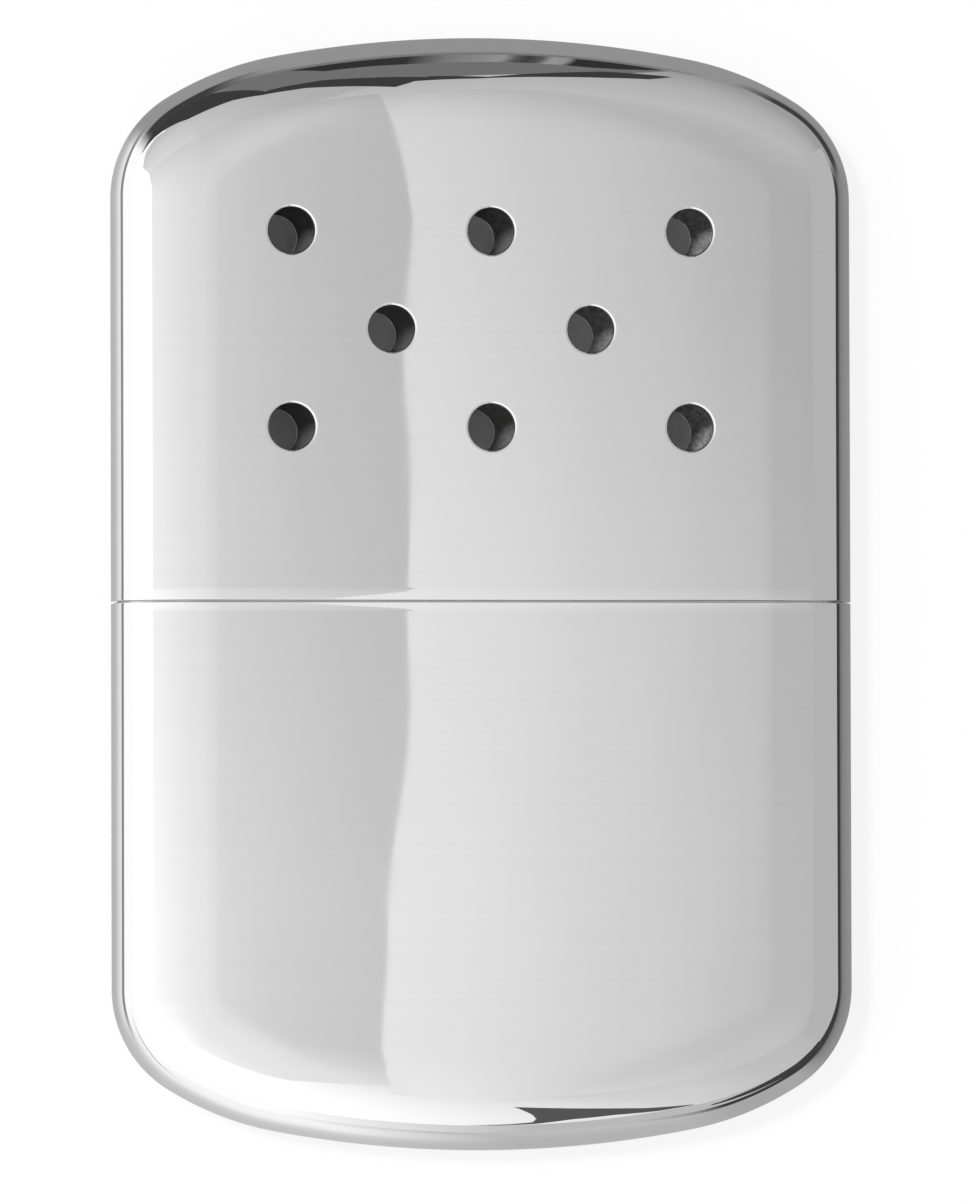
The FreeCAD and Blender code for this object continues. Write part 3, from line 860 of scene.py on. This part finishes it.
def make_tank_parts():
    steel, brass, solder = plated_steel(), neck_brass(), soft_solder()
    felt = fibres("felt", (0.5, 0.44, 0.34, 1), (0.72, 0.67, 0.56, 1), 2600, 0.05 * MM)
    wadding = fibres("wadding", (0.66, 0.65, 0.62, 1), (0.86, 0.85, 0.83, 1), 1500, 0.09 * MM)

    skin = Skin()
    low_y, high_y = heights("tank_top_cup")
    floor_y, inner = low_y + CUP_SHEET, -CUP_INSET - CUP_SHEET
    wall = [(-CUP_BRIM, low_y, 0), (-CUP_INSET, low_y, 0.35), (-CUP_INSET, high_y, 0.2)]
    wall += [(inner, high_y, 0.12), (inner, floor_y, 0.3), (-CUP_BRIM, floor_y, 0)]
    loops = [skin.row(rim_row(*sample)) for sample in section(wall, closed=False)]
    skin.bands(loops)
    crown(skin)
    skin.bands([obround_row(skin, NECK_HOLE, y, -1, 0) for y in (floor_y, low_y)])
    for y, along, loop in ((floor_y, 1, loops[-1]), (low_y, -1, loops[0])):
        skin.fill(skin.marks(loop, "xz"), [skin.marks(obround_row(skin, NECK_HOLE, y, 0, along), "xz")])
    settle(skin.piece("tank_top_cup.drawn", steel), "tank")

    skin = Skin()
    low_y, high_y = heights("tank_solder_seam")
    bead = [(-0.5 * MM, high_y, 0.03), (-0.9 * MM, high_y, 0.03)]
    bead += [(-0.72 * MM, high_y - 0.14 * MM, 0.1), (-0.5 * MM, low_y, 0.03)]
    skin.tube([skin.row(rim_row(*sample)) for sample in section(bead)])
    crown(skin)
    settle(skin.piece("tank_solder_seam.bead", solder), "tank")

    low_y, high_y = heights("filler_neck")
    step_y, inner, flange = low_y + NECK_SHEET, NECK_HALF - NECK_SHEET, NECK_HALF + NECK_FLANGE
    tube = [(inner, low_y, 0.1), (flange, low_y, 0.1), (flange, step_y, 0.1)]
    tube += [(NECK_HALF, step_y, 0.15), (NECK_HALF, high_y, 0.22), (inner, high_y, 0.22)]
    settle(obround_piece("filler_neck.drawn", tube, brass), "tank")

    low_y, high_y = heights("neck_solder_ring")
    bead = [(flange, low_y, 0.03), (flange + 0.25 * MM, low_y, 0.15)]
    bead += [(flange + 0.5 * MM, high_y, 0.05), (flange, high_y, 0.03)]
    settle(obround_piece("neck_solder_ring.bead", bead, solder), "tank")

    rows = [("wick_felt", "felt", felt, 0.28, 5, 0.16, 1.6, 0.9)]
    for number, scale in ((1, 4.2), (2, 5.1), (3, 4.6)):
        rows.append((f"filling_pad_{number}", "wadding", wadding, 0.55, 6, 0.5, scale, 0.7))
    for node, slot, finish, voxel, rounds, unevenness, scale, fill in rows:
        piece = soft_copy(node, voxel * MM, rounds, unevenness * MM, scale * MM)
        piece.data.materials.append(finish)
        settle(piece, "tank")


def make_burner():
    steel, gauze = plated_steel(), gauze_steel()
    wool = fibres("catalyst_wool", (0.05, 0.05, 0.052, 1), (0.2, 0.2, 0.2, 1), 2400, 0.06 * MM)
    inner, shelf, bend = SKIRT_HALF - HOOD_SHEET, SKIRT_HALF - SHELF_WIDTH, 0.12
    (low_y, high_y), shelf_y = heights("burner_skirt"), heights("support_gauze")[0]
    skirt = [(inner, low_y, bend), (SKIRT_HALF, low_y, bend), (SKIRT_HALF, high_y, bend), (inner, high_y, bend)]
    skirt += [(inner, shelf_y, 0.1), (shelf, shelf_y, bend)]
    skirt += [(shelf, shelf_y - HOOD_SHEET, bend), (inner, shelf_y - HOOD_SHEET, 0.2)]
    settle(obround_piece("burner_skirt.drawn", skirt, steel), "burner")
    settle(burner_hood().piece("burner_hood.pierced", steel), "burner")
    for node in ("support_gauze", "cover_gauze"):
        low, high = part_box(node)
        settle(woven_gauze(low.y, high.z - MID_Z).piece(f"{node}.woven", gauze), "burner")

    piece, flat = folded_cloth(*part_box("catalyst_cloth"), 0.9 * MM)
    piece.data.materials.append(glass_cloth())
    settle(piece, "burner")

    core = soft_copy("catalyst_core", 0.3 * MM, 8, 0.7 * MM, 1.1 * MM)
    core.data.materials.append(wool)
    settle(core, "burner")
    low, high = (Vector(corner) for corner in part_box("catalyst_core"))
    inward = Vector((0.4, 0.3, 0.3)) * MM
    strands = loose_fibres(low + inward, high - inward, 260).piece("catalyst_core.strands", wool, turn=Matrix())
    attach(strands, "burner")


# ---- studio
# Cards that stand out of the picture and show only in what is polished. Tones are linear greys.
JOINT_X = 0.299  # where the two diffusers overhead meet, and that joint's course as (x, y)
JOINT = (
    (0.229, -1.3), (0.247, -0.85), (0.267, -0.48), (0.29, -0.2), (0.2995, -0.09), (0.2995, -0.04), (0.302, -0.005),
    (0.303, 0.03), (0.2995, 0.06), (0.2995, 0.137), (0.304, 0.173), (0.307, 0.198), (0.3055, 0.216), (0.303, 0.233),
    (0.2845, 0.44), (0.2635, 0.7), (0.2455, 0.97), (0.225, 1.3),
)
RIGHT_X, LEFT_X, LEFT_WALL_X, REAR_LEFT_X = 2.2, -2.65, -5, -3.6
FRONT_Y, REAR_Y, LEFT_WALL_Y = -1.3, 1.3, 3
CEILING_Z, DRAPE_TOP_Z, DRAPE_FOOT_Z = 2.4, 5, 0.4
CARD_GAP = 0.01  # between a wall and the flags against it
BLACK = 0.045
FLOOR_HALF = 6
FLOOR_WHITE = 0.8  # share of plain white in what is seen of the floor, over its own shaded white
FILL_LIGHT = 0.65  # the world's light on the object, as a share of the white it shows

# tones of each diffuser, as (place, tone): across its front, over the case and across its rear, then along the case
LEFT_TONES = (
    ((LEFT_X, 1.12), (-0.9, 1.1), (-0.45, 0.98), (0.07, 0.83), (JOINT_X, 0.8)),
    ((LEFT_X, 0.94), (-1.4, 0.89), (-0.5, 0.82), (0.1, 0.76), (0.2, 0.71), (0.226, 0.65), (0.25, 0.6), (JOINT_X, 0.54)),
    ((LEFT_X, 0.72), (-0.5, 0.62), (0.0, 0.5), (JOINT_X, 0.45)),
    ((FRONT_Y, 1.12), (-0.04, 1.12), (0.07, 1.02), (0.174, 0.97), (0.25, 0.96), (REAR_Y, 0.96)),
)
RIGHT_TONES = (
    ((JOINT_X, 0.86), (0.36, 0.84), (0.45, 0.76), (0.8, 0.62), (RIGHT_X, 0.5)),
    ((JOINT_X, 0.79), (0.34, 0.74), (0.385, 0.67), (0.43, 0.61), (0.475, 0.53), (0.55, 0.49), (RIGHT_X, 0.48)),
    ((JOINT_X, 0.53), (0.42, 0.5), (0.6, 0.53), (RIGHT_X, 0.5)),
    ((FRONT_Y, 1.1), (-0.04, 1.07), (0.07, 1.03), (0.174, 0.95), (0.25, 0.92), (REAR_Y, 0.92)),
)
DRAPE_TONES = ((LEFT_X, 1.1), (0.0, 1.1), (0.2, 0.95), (0.36, 0.83), (0.5, 0.68), (1.0, 0.56), (RIGHT_X, 0.5))
LOW_TONES = ((LEFT_X, 1.1), (-0.1, 1.05), (0.12, 0.7), (0.24, 0.52), (RIGHT_X, 0.5))
REAR_UPWARD = ((0, 0.33), (0.5, 0.4), (1.0, 0.46), (CEILING_Z, 0.52))
REAR_ACROSS = (
    (REAR_LEFT_X, 1.55), (-1.5, 1.42), (-0.6, 1.3), (-0.15, 1.05), (0.125, 0.92), (0.135, 1.04), (RIGHT_X, 1.0),
)
STREAK_TONES = (
    (-0.08, 0.03), (0.075, 0.035), (0.13, 0.2), (0.2, 0.3), (0.216, 0.1), (0.232, 0.05), (0.25, 0.1), (0.262, 0.32),
    (0.28, 0.3), (0.292, 0.03), (0.41, 0.035),
)

# tones round the case on the floor: (first heading in degrees clockwise from the lid's end, last, steps), and
# each step is (distance from the case in mm, tone)
# Near the case these tones are a painted shadow of the case on the floor; the dark bands further out stand for the dark
# beyond the floor's edge.
LEFT_STEPS = ((0, 0.46), (4, 0.5), (9, 0.78), (12, 0.84), (13, 0.25), (17, 0.25), (18.5, 1.05), (2200, 1.1))
SURROUND = (
    (-102, -60, LEFT_STEPS),
    (-48, -20, ((0, 0.31), (24, 0.31), (31, 0.05))),
    (-9, 16, ((0, 0.3), (70, 0.3), (120, 0.2))),
    (20, 24, ((0, 0.3), (70, 0.3), (2200, 0.33))),
    (32, 68, ((0, 0.3), (18, 0.27), (24, 0.05), (60, 0.05), (75, 0.35), (2200, 0.45))),
    (78, 125, ((0, 0.3), (35, 0.22), (60, 0.14), (80, 0.045))),
    (140, 156, ((0, 0.4), (60, 0.42), (75, 0.045))),
    (166, 177, ((0, 0.46), (60, 0.54))),
    (186, 205, ((0, 0.54), (8, 0.6), (15, 0.72), (22, 0.9), (41, 0.98), (2200, 1.0))),
    (222, 240, ((0, 0.5), (8, 0.58), (15, 0.72), (22, 0.9), (36, 0.97), (40, 0.4), (44, 0.4), (47, 1.05), (2200, 1.1))),
    (258, 300, LEFT_STEPS),
)


def reflected(name, mesh, shade):
    """Makes a mesh a card that only reflections show. shade is a tone, steps along X, or a function of nodes."""
    nodes = material_nodes(name)
    if callable(shade):
        tone = shade(nodes)
    else:
        tone = nodes.stepped("X", shade) if isinstance(shade, tuple) else grey(shade)
    nodes.add("OutputMaterial", {"Surface": nodes.add("Emission", {"Color": tone})[0]})
    mesh.materials.append(nodes.owner)
    card = new_object(name, mesh)
    card.visible_camera = card.visible_diffuse = card.visible_shadow = False


def overhead(front, middle, rear, along):
    """Shade of a diffuser overhead, from its front through its part over the case to its rear."""

    def shade(nodes):
        y, over_case = nodes.axis("Y"), nodes.crossed("X", middle, "Y", along)
        nearer = nodes.mix(y, FRONT_Y, -0.12, nodes.stepped("X", front), over_case)
        return nodes.mix(y, 0.22, REAR_Y, nearer, nodes.stepped("X", rear))

    return shade


def rectangle(left, right, low, high):
    return ((left, low), (right, low), (right, high), (left, high))


def make_cards():
    """The flat cards. Each is square to one axis (0 for X), at a place on it; its outline is along the other two."""
    left = ((REAR_LEFT_X, REAR_Y), (LEFT_X, 0.5), (LEFT_X, FRONT_Y), (0.06, FRONT_Y))
    rear = ((-1.05, 0), (RIGHT_X, 0), (RIGHT_X, CEILING_Z), (REAR_LEFT_X, CEILING_Z))
    rear += ((-3.2, 1.0), (-2.2, 0.42), (-1.4, 0.34), (-1.1, 0.5))
    lens = (
        (0.155, 0.42), (0.215, 0.46), (0.252, 0.53), (0.268, 0.7), (0.282, 0.92), (0.298, 1.2), (0.32, 1.55),
        (0.36, 1.3), (0.39, 1.08), (0.43, 0.72), (0.49, 0.42), (0.43, 0.44), (0.37, 0.56), (0.31, 0.55),
        (0.25, 0.43), (0.2, 0.4),
    )
    low = ((0.56, 0.14), (1.0, 0), (2.19, 0), (2.19, 0.4), (1.5, 0.4), (1.0, 0.34), (0.71, 0.27), (0.56, 0.2))
    crescent = (
        (-2.3, 0), (-1.9, 0.1), (-1.36, 0.26), (-1.0, 0.45), (-0.5, 0.74), (-0.32, 0.82), (-0.16, 1.06),
        (-0.01, 1.15), (0.12, 1.6), (0.19, 1.86), (0.17, 1.25), (0.05, 0.98), (-0.01, 0.84), (-0.16, 0.87),
        (-0.25, 0.55), (-0.33, 0.3), (-0.42, 0),
    )
    streak = ((-0.08, 0.02), (0.41, 0), (0.39, 0.16), (0.36, 0.34), (0.32, 0.44), (0.2, 0.43), (0.1, 0.46))
    streak += ((0.04, 0.4), (-0.03, 0.36))
    line = ((0.17, 1.2), (0.26, 1.32), (0.3, 0.98), (0.345, 0.6), (0.43, 0.31), (0.42, 0.66), (0.38, 0.93))
    line += ((0.34, 1.15), (0.26, 1.45), (0.17, 1.5))
    rear_grey = ((-1.0, 0), (0.42, 0), (0.36, 0.8), (0.3, 1.1), (0.2, 1.3), (-0.1, 0.9), (-0.5, 0.6))
    skirting = ((FRONT_Y, 0), (-0.25, 0), (-0.6, 0.12), (FRONT_Y, 0.3))
    front_flags, rear_flags = FRONT_Y + CARD_GAP, REAR_Y - 2 * CARD_GAP
    for name, axis, place, outline, shade in (
        ("left_diffuser", 2, CEILING_Z, JOINT[1:] + left, overhead(*LEFT_TONES)),
        ("right_diffuser", 2, CEILING_Z, JOINT + ((RIGHT_X, REAR_Y), (RIGHT_X, FRONT_Y)), overhead(*RIGHT_TONES)),
        ("right_wall", 0, RIGHT_X, rectangle(FRONT_Y, REAR_Y, 0, CEILING_Z), 0.48),
        ("left_wall", 0, LEFT_WALL_X, rectangle(FRONT_Y, LEFT_WALL_Y, 0, DRAPE_TOP_Z), 1.12),
        ("right_skirting", 0, RIGHT_X - CARD_GAP, skirting, BLACK),
        ("front_drape", 1, FRONT_Y, rectangle(LEFT_WALL_X, RIGHT_X, DRAPE_FOOT_Z, DRAPE_TOP_Z), DRAPE_TONES),
        ("front_low", 1, FRONT_Y, rectangle(LEFT_WALL_X, RIGHT_X, 0, DRAPE_FOOT_Z), LOW_TONES),
        ("front_lens", 1, front_flags, lens, 0.095),
        ("front_skirting", 1, front_flags, low, 0.05),
        ("rear_wall", 1, REAR_Y, rear, lambda nodes: nodes.crossed("Z", REAR_UPWARD, "X", REAR_ACROSS)),
        ("rear_grey", 1, REAR_Y - CARD_GAP, rear_grey, 0.17),
        ("rear_crescent", 1, rear_flags, crescent, BLACK),
        ("rear_streak", 1, rear_flags, streak, STREAK_TONES),
        ("rear_line", 1, rear_flags, line, BLACK),
    ):
        mesh = bpy.data.meshes.new(name)
        corners = [mark[:axis] + (place,) + mark[axis:] for mark in outline]
        mesh.from_pydata(corners, [], [tuple(range(len(corners)))])
        reflected(name, mesh, shade)


def tone_at(place, steps):
    """The tone at a place, between the two steps that it lies between."""
    for (near, first), (far, last) in zip(steps, steps[1:]):
        if place <= far:
            return first + (last - first) * (place - near) / (far - near)
    return steps[-1][1]


def make_surround():
    """Card on the floor that follows the case's outline and shows only in reflections: near the case a painted shadow
    of the case on the floor, further out darker bands for the dark beyond the floor's edge.
    """
    half = case_path(0)
    outline = half + [(-point, -out) for point, out in half[1:-1]]
    points, tones = [], []
    for distance in sorted({distance for *_, steps in SURROUND for distance, _ in steps}):
        sides = [(side, tone_at(distance, steps)) for *ends, steps in SURROUND for side in ends]
        for point, out in outline:
            tone = tone_at((math.degrees(math.atan2(out.x, out.y)) + 60) % 360 - 60, sides)
            points.append(point + out * distance * MM + Z * 0.1 * MM)
            tones += (tone, tone, tone, 1)
    mesh = bpy.data.meshes.new("surround")
    mesh.from_pydata(points, [], ring_faces(len(outline), len(points)))
    mesh.color_attributes.new("tone", "FLOAT_COLOR", "POINT").data.foreach_set("color", tones)
    reflected("surround", mesh, lambda nodes: nodes.add("Attribute", {}, attribute_name="tone")["Color"])


def make_studio():
    mesh = bpy.data.meshes.new("floor")
    corners = rectangle(-FLOOR_HALF, FLOOR_HALF, -FLOOR_HALF, FLOOR_HALF)
    mesh.from_pydata([(x, y, 0) for x, y in corners], [], [(0, 1, 2, 3)])
    nodes = material_nodes("paper_floor")
    paper = nodes.add("BsdfPrincipled", {"Base Color": grey(0.95), "Roughness": 0.9})[0]
    white = nodes.add("Emission", {"Color": grey(1.0)})[0]
    # The white glow fades where ambient occlusion finds the case near: a painted shadow under and close round the case,
    # with a faint 0.025 glow left under it.
    open_floor = nodes.add("AmbientOcclusion", {"Distance": 45 * MM}, samples=8)["AO"]
    share = nodes.ramp(open_floor, 0.15, 0.45, 0.025, FLOOR_WHITE)
    share = nodes.math("MULTIPLY", nodes.seen_by("Camera", "Glossy"), share)
    nodes.add("OutputMaterial", {"Surface": nodes.add("MixShader", {0: share, 1: paper, 2: white})[0]})
    mesh.materials.append(nodes.owner)
    new_object("floor", mesh)

    world = bpy.data.worlds.new("studio")
    nodes = Nodes(world)
    strength = nodes.ramp(nodes.seen_by("Camera", "Glossy", "Transmission"), 0, 1, FILL_LIGHT, 1.0)
    nodes.add("OutputWorld", {"Surface": nodes.add("Background", {"Color": grey(1.0), "Strength": strength})[0]})
    bpy.context.scene.world = world

    for name, size, power, place in (("key", 1.1, 4, (-0.9, -0.5, 1.8)), ("beam", 0.2, 16, (-0.66, 0.24, 1.9))):
        data = bpy.data.lights.new(name, "AREA")
        data.shape = "DISK"
        data.size = size
        data.energy = power
        lamp = new_object(name, data)
        lamp.location = place
        lamp.rotation_euler = (-lamp.location).to_track_quat("-Z", "Y").to_euler()
        lamp.visible_glossy = False


bpy.context.scene.view_settings.view_transform = "Standard"
make_camera()
make_studio()
make_cards()
make_surround()
make_case()
make_tank_parts()
make_burner()

bpy.context.view_layer.update()
